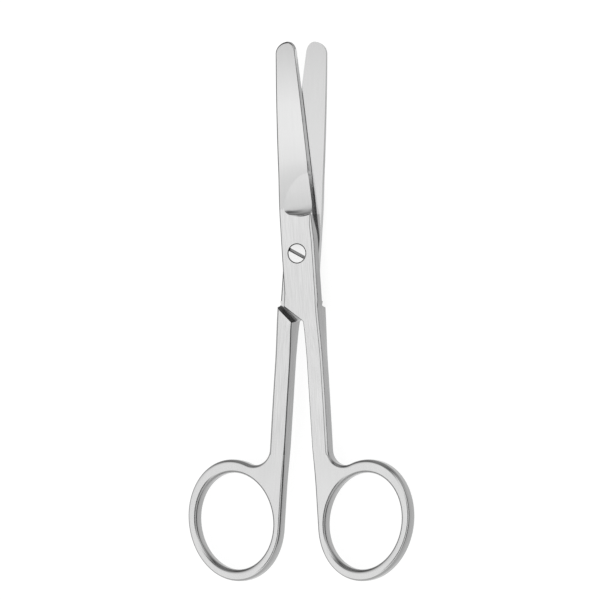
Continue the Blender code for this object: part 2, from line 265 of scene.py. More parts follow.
tip_wall = Wall(0.0, 0.44 * MM, 0.42 * MM, 0.9, 2)
bend_wall = Wall(0.0, 0.46 * MM, 0.42 * MM, 0.9, 2)
lock_spine_wall = Wall(0.48 * MM, 0.42 * MM, 0.42 * MM, 1.0, 2)
lock_end_wall = Wall(0.1 * MM, 0.3 * MM, 0.3 * MM, 1.0, 2)
crotch_wall = Wall(0.0, 0.2 * MM, 0.2 * MM, 0.8, 2)
shank_in_wall = Wall(0.06 * MM, 0.26 * MM, 0.26 * MM, 0.8, 2)
ring_wall = Wall(0.0, 1.05 * MM, 1.3 * MM, 0.0, 1)
hole_wall = Wall(0.0, 1.35 * MM, 1.3 * MM, 0.0, 1)
shank_out_wall = Wall(0.06 * MM, 0.5 * MM, 0.5 * MM, 1.0, 0)
lock_edge_wall = Wall(0.4 * MM, 0.55 * MM, 0.55 * MM, 1.0, 0)
edge_wall = Wall(0.38 * MM, 0.1 * MM, 0.1 * MM, 0.5, -1)


def smooth(value):
    value = min(max(value, 0.0), 1.0)
    return value * value * (3.0 - 2.0 * value)


def mix(a, b, share):
    return a + (b - a) * share


def mix_walls(first, last, share):
    return Wall(*(mix(a, b, share) for a, b in zip(first, last)))


def steps_for(length):
    return max(1, math.ceil(length / spacing))


def bowed(start, end, bow, first_wall, last_wall):
    """Points from start to end, both included, bulging to the right of the way they run."""
    start, end = Vector(start), Vector(end)
    along = end - start
    side = Vector((along.y, -along.x)).normalized()
    count = steps_for(along.length)
    points = []
    for step in range(count + 1):
        share = step / count
        place = start + along * share + side * (bow * 4.0 * share * (1.0 - share))
        points.append(Rim(place.x, place.y, mix_walls(first_wall, last_wall, share)))
    return points


def arc(centre, radii, first, last, first_wall, last_wall):
    """Points of an elliptical arc; first and last are degrees, both included."""
    points = []
    for step in range(arc_steps + 1):
        share = step / arc_steps
        angle = math.radians(mix(first, last, share))
        points.append(Rim(centre[0] + radii[0] * math.cos(angle),
                          centre[1] + radii[1] * math.sin(angle),
                          mix_walls(first_wall, last_wall, share)))
    return points


def path(corners):
    """Points along straight runs between (place, radius, wall) corners, which are rounded."""
    points = [Rim(*corners[0][0], corners[0][2])]
    for before, here, after in zip(corners, corners[1:], corners[2:]):
        corner = Vector(here[0])
        if not here[1]:
            points += bowed(points[-1][:2], corner, 0.0, points[-1].wall, here[2])[1:]
            continue
        back = (Vector(before[0]) - corner).normalized()
        ahead = (Vector(after[0]) - corner).normalized()
        half_angle = back.angle(ahead) / 2
        radius = here[1]
        centre = corner + (back + ahead).normalized() * (radius / math.sin(half_angle))
        first = corner + back * (radius / math.tan(half_angle)) - centre
        last = corner + ahead * (radius / math.tan(half_angle)) - centre
        sweep = math.atan2(first.x * last.y - first.y * last.x, first.dot(last))
        points += bowed(points[-1][:2], centre + first, 0.0, points[-1].wall, here[2])[1:]
        count = max(3, round(abs(math.degrees(sweep)) / corner_step))
        for step in range(1, count + 1):
            place = centre + Matrix.Rotation(sweep * step / count, 2) @ first
            points.append(Rim(place.x, place.y, here[2]))
    end = corners[-1]
    return points + bowed(points[-1][:2], end[0], 0.0, points[-1].wall, end[2])[1:]


class Oval:
    """A finger ring's outline: angle 0 is its top, and angles run towards the shank."""

    def __init__(self, centre, half_long, half_wide):
        self.centre = Vector(centre)
        self.half_long = half_long
        self.half_wide = half_wide
        tilt = math.radians(ring_tilt)
        self.up = Vector((math.sin(tilt), math.cos(tilt)))
        self.side = Vector((-math.cos(tilt), math.sin(tilt)))

    def point(self, angle):
        along = self.up * (self.half_long * math.cos(angle))
        return self.centre + along + self.side * (self.half_wide * math.sin(angle))

    def normal(self, angle):
        along = self.up * (self.half_wide * math.cos(angle))
        return (along + self.side * (self.half_long * math.sin(angle))).normalized()

    def flank_angle(self):
        return math.atan2(self.half_wide * self.side.x, self.half_long * self.up.x) % math.pi

    def reach(self):
        return math.hypot(self.half_long * self.up.x, self.half_wide * self.side.x)


def ring_outer():
    outer = Oval((0, -ring_reach), ring_hole_long / 2 + ring_band_end,
                 ring_hole_wide / 2 + ring_band)
    outer.centre.x = closed_gap / 2 + outer.reach()
    return outer


def ring_hole():
    centre = ring_outer().centre - Vector((ring_hole_shift, ring_hole_drop))
    return Oval(centre, ring_hole_long / 2, ring_hole_wide / 2)


def neck(outer):
    """The fillet between shank and ring: its centre, and the ring's angle where it touches."""
    low, high = 0.0, math.pi / 2
    for _ in range(search_steps):
        middle = (low + high) / 2
        place = outer.point(middle) + outer.normal(middle) * neck_fillet
        if place.x > shank_outer_end + neck_fillet:
            low = middle
        else:
            high = middle
    return place, middle


def lock_end_y(x):
    """The slanted end of the lock: its place along y at this x."""
    slant = math.radians(lock_end_slant)
    return -(lock_end_line + x * math.sin(slant)) / math.cos(slant)


def ring_share(y):
    """0 on the shank, 1 on the ring."""
    return smooth((ring_start - y) / ring_blend)


def blade_face(x, y):
    """Height of the blade's ground outer face."""
    along = min(max((y - blade_start) / (blade_reach - blade_start), 0.0), 1.0)
    at_spine = mix(blade_thick_start, blade_thick_tip, along ** blade_thin_power)
    return at_spine - (x + spine_at_bend) * math.tan(math.radians(blade_slope))


def half_outline():
    """The plan outline of one half, anticlockwise from the crown of the tip."""
    outer = ring_outer()
    flank = outer.flank_angle()
    flank_y = outer.point(flank).y
    spine = -lock_spine_side
    points = arc((tip_crown, tip_start), (tip_crown + spine_at_tip, tip_length), 90, 180,
                 tip_wall, tip_wall)
    points += bowed((-spine_at_tip, tip_start), (-spine_at_bend, bend_reach), spine_bow,
                    tip_wall, bend_wall)[1:]
    points += bowed((-spine_at_bend, bend_reach), (-spine_at_start, blade_start), 0.0,
                    bend_wall, lock_spine_wall)[1:]
    points += path([
        ((-spine_at_start, blade_start), 0, lock_spine_wall),
        ((spine, 0.0), 0, lock_spine_wall),
        ((spine, -lock_spine_reach), 0, lock_spine_wall),
        ((spine, lock_end_y(spine)), lock_corner, lock_end_wall),
        ((shank_inner, lock_end_y(shank_inner)), lock_corner, crotch_wall),
        ((shank_inner, lock_end_y(shank_inner) - lock_end_margin), 0, shank_in_wall)])[1:]
    for rim in bowed(points[-1][:2], (closed_gap / 2, flank_y), 0.0, shank_in_wall,
                     shank_in_wall)[1:-1]:
        points.append(Rim(rim.x, rim.y, mix_walls(shank_in_wall, ring_wall, ring_share(rim.y))))

    fillet, touch = neck(outer)
    turn = 2 * math.pi + touch - flank
    for step in range(ring_steps + 1):
        place = outer.point(flank + turn * step / ring_steps)
        points.append(Rim(place.x, place.y, ring_wall))
    inward = outer.normal(touch)
    first = math.degrees(math.atan2(-inward.y, -inward.x))
    points += arc(fillet, (neck_fillet, neck_fillet), first, -180, ring_wall, shank_out_wall)[1:]

    points += bowed((shank_outer_end, fillet.y),
                    (shank_outer_start, -lock_end_reach - shank_flare), shank_bow,
                    shank_out_wall, shank_out_wall)[1:]
    points += path([
        ((shank_outer_start, -lock_end_reach - shank_flare), 0, shank_out_wall),
        ((lock_edge_side, -lock_end_reach), lock_turn, lock_edge_wall),
        ((lock_edge_side, lock_step_reach), lock_turn, lock_edge_wall),
        ((lock_step_side, lock_step_reach + lock_step_length), lock_turn, lock_edge_wall),
        ((edge_at_start, blade_start), 0, edge_wall)])[1:]
    points += bowed((edge_at_start, blade_start), (edge_at_tip, tip_start), edge_bow,
                    edge_wall, edge_wall)[1:]
    points += arc((tip_crown, tip_start), (edge_at_tip - tip_crown, tip_length), 0, 90,
                  edge_wall, tip_wall)[1:-1]
    return points


def hole_outline():
    hole = ring_hole()
    points = []
    for step in range(ring_steps):
        place = hole.point(2 * math.pi * step / ring_steps)
        points.append(Rim(place.x, place.y, hole_wall))
    return points


def outward(points):
    """Unit vectors out of an anticlockwise outline at each of its points."""
    normals = []
    for index, rim in enumerate(points):
        before = Vector(points[index - 1][:2])
        here = Vector(rim[:2])
        after = Vector(points[(index + 1) % len(points)][:2])
        way = (here - before).normalized() + (after - here).normalized()
        normals.append(Vector((way.y, -way.x)).normalized())
    return normals


def profile():
    """Shares of inset and drop from the wall to the face, rounded and chamfered."""
    corner = arris_share
    cut = corner * math.tan(math.pi / 8)
    rounded = []
    ground = []
    half = profile_steps // 2
    for step in range(profile_steps + 1):
        turn = math.pi / 2 * step / profile_steps
        rounded.append((1 - math.cos(turn), 1 - math.sin(turn)))
    for step in range(half):
        turn = math.pi / 4 * step / (half - 1)
        ground.append((corner * (1 - math.cos(turn)), 1 + cut - corner * math.sin(turn)))
    ground = ground + [(0.5, 0.5)] + [(drop, inset) for inset, drop in reversed(ground)]
    return rounded, ground


def forging_rows(points, into):
    """Rows (x, y, side, drop) up a wall, from the lower face's rim to the upper face's."""
    normals = outward(points)
    rounded, ground = profile()
    rows = []
    for (round_in, round_drop), (ground_in, ground_drop) in zip(rounded, ground):
        row = []
        for rim, normal in zip(points, normals):
            wall = rim.wall
            inset = wall.draft + wall.inset * mix(round_in, ground_in, wall.crisp)
            drop = wall.drop * mix(round_drop, ground_drop, wall.crisp)
            row.append((rim.x - normal.x * inset * into, rim.y - normal.y * inset * into, drop))
        rows.append(row)
    lower = [[(x, y, -1.0, drop) for x, y, drop in row] for row in reversed(rows)]
    upper = [[(x, y, 1.0, drop) for x, y, drop in row] for row in rows]
    middle = [[(rim.x, rim.y, 0.0, 0.0) for rim in points]]
    return lower + middle + upper


def inside(x, y, loops):
    """Whether a point is within the first loop and in none of the others."""
    found = False
    for loop in loops:
        for (ax, ay), (bx, by) in zip(loop, loop[1:] + loop[:1]):
            if (ay > y) != (by > y) and x < (bx - ax) * (y - ay) / (by - ay) + ax:
                found = not found
    return found


def face_triangles(loops):
    """A plan mesh of the face between an outline and its holes: its extra points and its
    triangles, whose numbers count the loops' points first."""
    edge_points = [point for loop in loops for point in loop]
    near = KDTree(len(edge_points))
    for index, (x, y) in enumerate(edge_points):
        near.insert((x, y, 0.0), index)
    near.balance()
    all_x, all_y = zip(*edge_points)
    low_x, high_x = min(all_x), max(all_x)
    high_y = max(all_y)
    extra = []
    row = 0
    y = min(all_y)
    while y < high_y:
        x = low_x + (face_grid / 2 if row % 2 else 0.0)
        while x < high_x:
            distance = near.find((x, y, 0.0))[2]
            if distance > face_grid * face_margin and inside(x, y, loops):
                extra.append((x, y))
            x += face_grid
        y += face_grid * math.sin(math.pi / 3)
        row += 1
    flat = [Vector((x / MM, y / MM)) for x, y in edge_points + extra]
    edges = []
    start = 0
    for loop in loops:
        count = len(loop)
        edges += [(start + index, start + (index + 1) % count) for index in range(count)]
        start += count
    made = delaunay_2d_cdt(flat, edges, [], 0, join_within)
    places, faces, sources = made[0], made[2], made[3]
    triangles = []
    for face in faces:
        middle = sum((places[index] for index in face), Vector((0, 0))) / len(face) * MM
        if inside(middle.x, middle.y, loops):
            triangles.append([sources[index][0] for index in face])
    return extra, triangles


def new_object(name, data):
    made = bpy.data.objects.new(name, data)
    bpy.context.scene.collection.objects.link(made)
    return made


def mesh_object(name, mesh, materials=()):
    data = bpy.data.meshes.new(name)
    mesh.to_mesh(data)
    mesh.free()
    for material in materials:
        data.materials.append(material)
    return new_object(name, data)


def side_quads(lower, upper):
    """The quads between two rows of points of a closed outline."""
    count = len(lower)
    for index in range(count):
        following = (index + 1) % count
        yield [lower[index], lower[following], upper[following], upper[index]]


def wall_finish(beyond_wall, finish):
    """The finish of the row of faces that is this many rows above the wall: side and rim are
    painted shade.
    """
    arris = profile_steps // 2 - 1
    bright_wall = round(finish) < 0
    if beyond_wall == 0:
        return SATIN if bright_wall else SIDE
    if bright_wall:
        return RIM
    if finish < finish_blend:
        on_arris = beyond_wall <= arris or beyond_wall > profile_steps - arris
        return RIM if on_arris else SATIN
    if beyond_wall > painted_shade_steps:
        return SATIN
    return RIM if finish > 2 - finish_blend else SIDE


def forging(name):
    """A flat forging: every point has its place in plan, its side (-1 lower face, 1 upper face) and
    how far it lies below that face's height, and every face the number of its finish. The forging
    tree raises it."""
    mesh = bmesh.new()
    side_layer = mesh.verts.layers.float.new("side")
    drop_layer = mesh.verts.layers.float.new("drop")
    finish_layer = mesh.faces.layers.int.new("finish")

    def vertex(x, y, side, drop):
        vert = mesh.verts.new((x, y, 0.0))
        vert[side_layer] = side
        vert[drop_layer] = drop
        return vert

    caps = {-1: [], 1: []}
    for points, into in ((half_outline(), 1), (hole_outline(), -1)):
        made = [[vertex(*place) for place in row] for row in forging_rows(points, into)]
        middle = len(made) // 2
        for step, (lower, upper) in enumerate(zip(made, made[1:])):
            beyond_wall = max(step - middle, middle - 1 - step)
            for rim, quad in zip(points, side_quads(lower, upper)):
                face = mesh.faces.new(quad if into > 0 else quad[::-1])
                face[finish_layer] = wall_finish(beyond_wall, rim.wall.finish)
        caps[-1].append(made[0])
        caps[1].append(made[-1])
    loops = [[(vert.co.x, vert.co.y) for vert in loop] for loop in caps[1]]
    extra, triangles = face_triangles(loops)
    for side, cap in caps.items():
        verts = [vert for loop in cap for vert in loop]
        verts += [vertex(x, y, side, 0.0) for x, y in extra]
        for triangle in triangles:
            corners = [verts[index] for index in triangle]
            a, b, c = (vert.co for vert in corners)
            upwards = (b.x - a.x) * (c.y - a.y) - (b.y - a.y) * (c.x - a.x) > 0
            face = mesh.faces.new(corners if upwards == (side > 0) else corners[::-1])
            face[finish_layer] = BLADE if a.y > blade_start else SATIN
    return mesh_object(name, mesh)


def feed(nodes, socket, value):
    """Links a value to a socket where it comes from a node, and else sets it."""
    if isinstance(value, bpy.types.NodeSocket):
        nodes.links.new(value, socket)
    else:
        socket.default_value = value


def value_math(nodes, operation, *values):
    made = nodes.nodes.new("ShaderNodeMath")
    made.operation = operation
    for socket, value in zip(made.inputs, values):
        feed(nodes, socket, value)
    return made.outputs[0]


def product(nodes, first, second):
    return value_math(nodes, "MULTIPLY", first, second)


def rest(nodes, share):
    """What a share leaves of one."""
    return value_math(nodes, "SUBTRACT", 1.0, share)


def value_ramp(nodes, value, start, end, low, high, curve="SMOOTHSTEP"):
    made = nodes.nodes.new("ShaderNodeMapRange")
    made.interpolation_type = curve
    for key, item in (("Value", value), ("From Min", start), ("From Max", end),
                      ("To Min", low), ("To Max", high)):
        feed(nodes, made.inputs[key], item)
    return made.outputs[0]


def split(nodes, vector):
    """The x, y and z of a vector."""
    made = nodes.nodes.new("ShaderNodeSeparateXYZ")
    nodes.links.new(vector, made.inputs[0])
    return made.outputs


class Tree:
    """A geometry node tree with named inputs for its sizes."""

    def __init__(self, name):
        self.group = bpy.data.node_groups.new(name, "GeometryNodeTree")
        for way in ("INPUT", "OUTPUT"):
            self.group.interface.new_socket("Geometry", in_out=way,
                                            socket_type="NodeSocketGeometry")
        self.start = self.group.nodes.new("NodeGroupInput")
        self.end = self.group.nodes.new("NodeGroupOutput")
        self.sockets = {}

    def size(self, name, value, kind="NodeSocketFloat"):
        socket = self.group.interface.new_socket(name, in_out="INPUT", socket_type=kind)
        self.sockets[name] = (socket.identifier, value)
        return self.start.outputs[name]

    def node(self, kind, inputs=None, **settings):
        made = self.group.nodes.new(kind)
        for key, value in settings.items():
            setattr(made, key, value)
        for key, value in (inputs or {}).items():
            feed(self.group, made.inputs[key], value)
        return made.outputs[0]

    def math(self, operation, *values):
        return value_math(self.group, operation, *values)

    def ramp(self, value, start, end, low, high, curve="LINEAR"):
        return value_ramp(self.group, value, start, end, low, high, curve)

    def give(self, geometry):
        self.group.links.new(geometry, self.end.inputs[0])

    def put_on(self, target):
        step = target.modifiers.new(self.group.name, "NODES")
        step.node_group = self.group
        for identifier, value in self.sockets.values():
            step[identifier] = value


def forging_tree(finishes):
    """Raises a forging's points to the height of its faces and gives the faces their finishes: the
    lock is thickest, the ground blade thins towards the tip, and the shank thins into the ring."""
    tree = Tree("forging_height")
    sizes = {}
    for name, value in (("Lock half thickness", lock_thick),
                        ("Shank half thickness", shank_thick / 2),
                        ("Ring half thickness", ring_thick / 2),
                        ("Taper start", -lock_end_reach), ("Taper length", shank_taper_length),
                        ("Ring start", ring_start), ("Ring blend", ring_blend),
                        ("Run-out", runout_reach), ("Land length", land_length),
                        ("Blade start", blade_start), ("Blade reach", blade_reach),
                        ("Thickness at lock", blade_thick_start),
                        ("Thickness at tip", blade_thick_tip), ("Thinning", blade_thin_power),
                        ("Spine", spine_at_bend), ("Land sink", land_sink),
                        ("Face slope", math.tan(math.radians(blade_slope)))):
        sizes[name] = tree.size(name, value)
    x, y, _ = split(tree.group, tree.node("GeometryNodeInputPosition"))

    taper_end = tree.math("SUBTRACT", sizes["Taper start"], sizes["Taper length"])
    shank = tree.ramp(y, taper_end, sizes["Taper start"], sizes["Shank half thickness"],
                      sizes["Lock half thickness"], "SMOOTHSTEP")
    ring_end = tree.math("SUBTRACT", sizes["Ring start"], sizes["Ring blend"])
    forged = tree.ramp(y, ring_end, sizes["Ring start"], sizes["Ring half thickness"], shank,
                       "SMOOTHSTEP")

    along = tree.ramp(y, sizes["Blade start"], sizes["Blade reach"], 0.0, 1.0)
    thinning = tree.math("POWER", along, sizes["Thinning"])
    thick = tree.ramp(thinning, 0.0, 1.0, sizes["Thickness at lock"], sizes["Thickness at tip"])
    across = tree.math("ADD", x, sizes["Spine"])
    ground = tree.math("SUBTRACT", thick, tree.math("MULTIPLY", across, sizes["Face slope"]))
    ground = tree.math("SUBTRACT", ground, sizes["Land sink"])

    land_end = tree.math("ADD", sizes["Run-out"], sizes["Land length"])
    height = tree.ramp(y, sizes["Run-out"], land_end, forged, ground, "SMOOTHSTEP")

    side = tree.node("GeometryNodeInputNamedAttribute", {"Name": "side"}, data_type="FLOAT")
    drop = tree.node("GeometryNodeInputNamedAttribute", {"Name": "drop"}, data_type="FLOAT")
    raised = tree.math("MULTIPLY", side, tree.math("SUBTRACT", height, drop))
    place = tree.node("ShaderNodeCombineXYZ", {"Z": raised})
    result = tree.node("GeometryNodeSetPosition",
                       {"Geometry": tree.start.outputs["Geometry"], "Offset": place})
    result = tree.node("GeometryNodeRealizeInstances", {"Geometry": result})
    number = tree.node("GeometryNodeInputNamedAttribute", {"Name": "finish"}, data_type="INT")
    for index, name in enumerate(forged_finishes):
        chosen = tree.math("COMPARE", number, index, 0.5) if index else True
        result = tree.node("GeometryNodeSetMaterial", {"Geometry": result, "Selection": chosen,
                                                       "Material": finishes[name]})
    tree.give(result)
    return tree


def rows_object(name, rows, materials):
    """A closed object from rows of points, joined by quads and closed at both ends. Its first side
    has the last of its materials."""
    mesh = bmesh.new()
    made = [[mesh.verts.new(place) for place in row] for row in rows]
    for lower, upper in zip(made, made[1:]):
        for index, quad in enumerate(side_quads(lower, upper)):
            mesh.faces.new(quad).material_index = 0 if index else len(materials) - 1
    mesh.faces.new(made[0][::-1])
    mesh.faces.new(made[-1])
    bmesh.ops.triangulate(mesh, faces=mesh.faces)
    return mesh_object(name, mesh, materials)


def slab_cutter(name, reach, tilt, low, high, materials):
    """A block whose side, reach from the screw axis and slanted as the shoulder, leans by tilt."""
    slant = math.radians(shoulder_slant)
    away = Vector((math.sin(slant), -math.cos(slant)))
    across = Vector((math.cos(slant), math.sin(slant)))
    rows = []
    for height in (low, high):
        end = reach - height * math.tan(math.radians(tilt))
        row = []
        for along, out in ((-cutter_reach, end), (cutter_reach, end),
                           (cutter_reach, -cutter_reach), (-cutter_reach, -cutter_reach)):
            place = across * along + away * out
            row.append((place.x, place.y, height))
        rows.append(row)
    return rows_object(name, rows, materials)


def hollow(reach, radius):
    """Height of a round hollow above its floor, reach past the line where it starts."""
    left = radius - min(max(reach, 0.0), radius)
    return radius - math.sqrt(radius ** 2 - left ** 2)


def hollow_lead(radius, depth):
    """How far past the line where a hollow starts its height has come down to depth."""
    return radius - math.sqrt(radius ** 2 - (radius - depth) ** 2)


def ground_height(x, y):
    """Height of the surface that the wheel leaves: the blade's face, the hollow where it runs out
    below it and the land that it leaves along the spine."""
    depth = lock_thick - blade_face(0.0, runout_reach)
    end = runout_reach - hollow_lead(runout_radius, depth)
    end += (x - runout_middle) ** 2 / (2 * runout_bend)
    start = -land_side - hollow_lead(land_radius, depth)
    below = hollow(y - end, runout_radius)
    beside = hollow(x - start, land_radius)
    blend = max(1.0 - abs(below - beside) / runout_blend, 0.0)
    return blade_face(x, y) + max(below, beside) + runout_blend * blend * blend / 4


def blade_cutter(name, material):
    """What the wheel grinds off the blade's outer face."""
    columns = [mix(-spine_at_start - grind_step, lock_edge_side * 2, step / grind_columns)
               for step in range(grind_columns + 1)]
    lows = [runout_reach - runout_radius + grind_step * step for step in range(grind_rows)]
    past_tip = blade_reach * 1.1
    long_rows = steps_for(past_tip - lows[-1])
    lines = lows + [mix(lows[-1], past_tip, (step + 1) / long_rows) for step in range(long_rows)]
    mesh = bmesh.new()
    low = [[mesh.verts.new((x, y, ground_height(x, y))) for x in columns] for y in lines]
    high = [[mesh.verts.new((x, y, lock_thick * 3)) for x in columns] for y in lines]
    for grid, up in ((low, False), (high, True)):
        for near, beyond in zip(grid, grid[1:]):
            for a, b, c, d in zip(near, near[1:], beyond[1:], beyond):
                mesh.faces.new((a, b, c, d) if up else (d, c, b, a))
    border = []
    for grid in (low, high):
        right = [row[-1] for row in grid]
        left = [row[0] for row in grid]
        border.append(grid[0] + right[1:] + grid[-1][-2::-1] + left[-2:0:-1])
    for quad in side_quads(*border):
        mesh.faces.new(quad)
    bmesh.ops.triangulate(mesh, faces=mesh.faces)
    return mesh_object(name, mesh, [material])


def relief_cutter(name, material):
    """A ground bevel under the lock's edge, where it rides on the other half."""
    rows = []
    beyond = relief * 2
    for x, y, depth in ((lock_edge_side, -lock_end_reach, relief),
                        (lock_edge_side, lock_step_reach, relief),
                        (lock_step_side, lock_step_reach + lock_step_length, relief),
                        (edge_at_start, blade_start, relief_at_blade),
                        (edge_at_start - relief, blade_start + relief_fade, relief_end)):
        rows.append([(x - depth, y, ride_gap / 2),
                     (x + beyond, y, ride_gap / 2 + depth + beyond),
                     (x + beyond, y, -relief)])
    return rows_object(name, rows, [material])


def turned_cutter(name, outline, material):
    """A solid turned about z from (radius, height) pairs, from the bottom up."""
    rows = []
    for radius, height in outline:
        row = []
        for step in range(turn_steps):
            angle = 2 * math.pi * step / turn_steps
            row.append((radius * math.cos(angle), radius * math.sin(angle), height))
        rows.append(row)
    return rows_object(name, rows, [material])


def mouth(radius):
    """The broken edge of a hole at the outer face, as (radius, height) pairs."""
    wide = radius + screw_edge * 2
    return [(radius, lock_thick - screw_edge), (wide, lock_thick + screw_edge),
            (wide, lock_thick * 2)]


def seat_outline():
    bore = screw_diameter / 2 + running_clearance
    seat = head_diameter / 2 + running_clearance
    floor = lock_thick - screw_sink - head_thick - running_clearance
    return [(bore, -lock_thick), (bore, floor), (seat, floor)] + mouth(seat)


def thread_outline():
    bore = screw_diameter / 2
    return [(bore, -lock_thick)] + mouth(bore)


def cut(target, cutter):
    step = target.modifiers.new(cutter.name, "BOOLEAN")
    step.operation = "DIFFERENCE"
    step.solver = "EXACT"
    step.material_mode = "TRANSFER"
    step.object = cutter


def baked(target, name):
    """The object with its modifiers turned into a plain mesh at the origin."""
    graph = bpy.context.evaluated_depsgraph_get()
    data = bpy.data.meshes.new_from_object(target.evaluated_get(graph))
    data.name = name
    return new_object(name, data)


def finish_edges(target):
    """Drops slivers, shades smoothly between sharp edges and lets the large faces stay flat."""
    mesh = bmesh.new()
    mesh.from_mesh(target.data)
    bmesh.ops.remove_doubles(mesh, verts=mesh.verts, dist=sliver)
    bmesh.ops.dissolve_degenerate(mesh, dist=sliver, edges=mesh.edges)
    bmesh.ops.triangulate(mesh, faces=[face for face in mesh.faces if len(face.verts) > 4])
    mesh.to_mesh(target.data)
    mesh.free()
    target.data.shade_smooth()
    target.data.set_sharp_from_angle(angle=math.radians(sharp_angle))
    step = target.modifiers.new("flat_faces", "WEIGHTED_NORMAL")
    step.keep_sharp = True
    step.weight = flat_weight


def half_matrix(lower):
    """From where a half is drawn to its place; the lower half is turned over."""
    place = Matrix.Translation(pivot)
    if lower:
        opened = Matrix.Rotation(math.radians(-half_opening), 4, "Z")
        return place @ opened @ Matrix.Rotation(math.pi, 4, "Y")
    return place @ Matrix.Rotation(math.radians(half_opening), 4, "Z")


def half_finishes(half, opening):
    """The finishes of one half: faces ground along it, and sides ground round its outline. The
    side, rim and shoulder greys are painted shade, and inner and blade carry a painted reflection.
    """
    angle = math.radians(opening)
    faces = ((grain, grain_length, grain), angle)
    sides = ((grain_length, grain_length, side_grain), angle)
    fine = grain_depth / 3
    return {
        "satin": brushed_steel("satin_" + half, satin_finish, faces, grain_depth),
        "side": brushed_steel("side_" + half, side_painted_shade_finish, sides, grain_depth),
        "rim": brushed_steel("rim_" + half, rim_painted_shade_finish, sides, grain_depth),
        "shoulder": brushed_steel("shoulder_" + half, shoulder_painted_shade_finish, sides, grain_depth),
        "inner": brushed_steel("inner_" + half, inner_finish, faces, fine, inner_painted_reflection),
        "blade": brushed_steel("ground_" + half, blade_finish, faces, fine, blade_painted_reflection)}


def make_half(name, lower, finishes):
    raised = forging(name + "_forging")
    forging_tree(finishes).put_on(raised)
    edge_line = shoulder_line + math.tan(math.radians(shoulder_draft)) * lock_thick
    # The recess's shoulder, the relief under the lock's edge and the bore take painted shade in
    # dark greys
    cutters = [
        slab_cutter(name + "_recess", shoulder_line, shoulder_draft, -lock_thick * 2, ride_gap / 2,
                    [finishes["inner"], finishes["shoulder"]]),
        slab_cutter(name + "_shoulder_edge", edge_line - lock_thick + shoulder_edge,
                    shoulder_edge_lean, -lock_thick * 1.5, -lock_thick * 0.9, [finishes["satin"]]),
        relief_cutter(name + "_relief", finishes["rim"]),
        blade_cutter(name + "_grind", finishes["blade"]),
        turned_cutter(name + "_bore", thread_outline() if lower else seat_outline(),
                      finishes["rim"])]
    for cutter in cutters:
        cut(raised, cutter)
    made = baked(raised, name)
    for item in cutters + [raised]:
        bpy.data.objects.remove(item)
    made.data.transform(half_matrix(lower))
    finish_edges(made)
    return made


def screw_tree(turning, milled_painted_shade):
    """Turns a half section about the screw's axis and mills the slot across the head."""
    tree = Tree("turned_screw")
    edge = tree.size("Edge radius", screw_edge)
    turns = tree.size("Turn steps", turn_steps, "NodeSocketInt")
    width = tree.size("Slot width", slot_width)
    depth = tree.size("Slot depth", slot_depth)
    angle = tree.size("Slot angle", math.radians(slot_angle))
    top = tree.size("Head face", lock_thick - screw_sink)
    section = tree.node("GeometryNodeFilletCurve",
                        {"Curve": tree.start.outputs["Geometry"], "Radius": edge,
                         "Count": screw_edge_steps}, mode="POLY")
    circle = tree.node("GeometryNodeCurvePrimitiveCircle",
                       {"Resolution": turns, "Radius": turning_rail})
    solid = tree.node("GeometryNodeCurveToMesh", {"Curve": circle, "Profile Curve": section})
    solid = tree.node("GeometryNodeMergeByDistance", {"Geometry": solid, "Distance": axis_weld})
    length = tree.math("MULTIPLY", top, 4.0)
    height = tree.math("MULTIPLY", depth, 2.0)
    size = tree.node("ShaderNodeCombineXYZ", {"X": length, "Y": width, "Z": height})
    block = tree.node("GeometryNodeMeshCube", {"Size": size})
    place = tree.node("ShaderNodeCombineXYZ", {"Z": top})
    turn = tree.node("ShaderNodeCombineXYZ", {"Z": angle})
    block = tree.node("GeometryNodeTransform",
                      {"Geometry": block, "Translation": place, "Rotation": turn})
    milled = tree.group.nodes.new("GeometryNodeMeshBoolean")
    milled.operation = "DIFFERENCE"
    milled.solver = "EXACT"
    tree.group.links.new(solid, milled.inputs["Mesh 1"])
    tree.group.links.new(block, milled.inputs["Mesh 2"])
    position = tree.node("GeometryNodeInputPosition")
    back = tree.math("MULTIPLY", angle, -1.0)
    straight = tree.node("ShaderNodeVectorRotate", {"Vector": position, "Angle": back},
                         rotation_type="Z_AXIS")
    _, across, up = split(tree.group, straight)
    aside = tree.math("ABSOLUTE", across)
    within = tree.math("LESS_THAN", aside, tree.math("MULTIPLY", width, slot_margin / 2))
    sunk = tree.math("LESS_THAN", up, tree.math("SUBTRACT", top, slot_lip))
    floor = tree.math("SUBTRACT", top, tree.math("MULTIPLY", depth, slot_margin))
    above = tree.math("GREATER_THAN", up, floor)
    in_slot = tree.math("MULTIPLY", tree.math("MULTIPLY", within, sunk), above)
    result = tree.node("GeometryNodeRealizeInstances", {"Geometry": milled.outputs["Mesh"]})
    result = tree.node("GeometryNodeSetMaterial", {"Geometry": result, "Material": turning})
    # The slot's faces get the milled steel, whose dark grey is painted shade
    result = tree.node("GeometryNodeSetMaterial",
                       {"Geometry": result, "Material": milled_painted_shade, "Selection": in_slot})
    tree.give(result)
    return tree


def make_screw(name, turning, milled_painted_shade):
    """Slotted flush screw, from a half section swept round a rail and moved back by its radius."""
    top = lock_thick - screw_sink
    seat = top - head_thick
    head = head_diameter / 2
    thread = screw_diameter / 2 - running_clearance
    section = [(0.0, -top), (thread, -top), (thread, seat), (head, seat), (head, top), (0.0, top)]
    data = bpy.data.curves.new("screw_section", "CURVE")
    data.dimensions = "3D"
    spline = data.splines.new("POLY")
    spline.points.add(len(section) - 1)
    for point, (radius, height) in zip(spline.points, section):
        point.co = (radius - turning_rail, -height, 0.0, 1.0)
    drawn = new_object("screw_section", data)
    screw_tree(turning, milled_painted_shade).put_on(drawn)
    made = baked(drawn, name)
    bpy.data.objects.remove(drawn)
    made.data.transform(half_matrix(False))
    finish_edges(made)
    return made


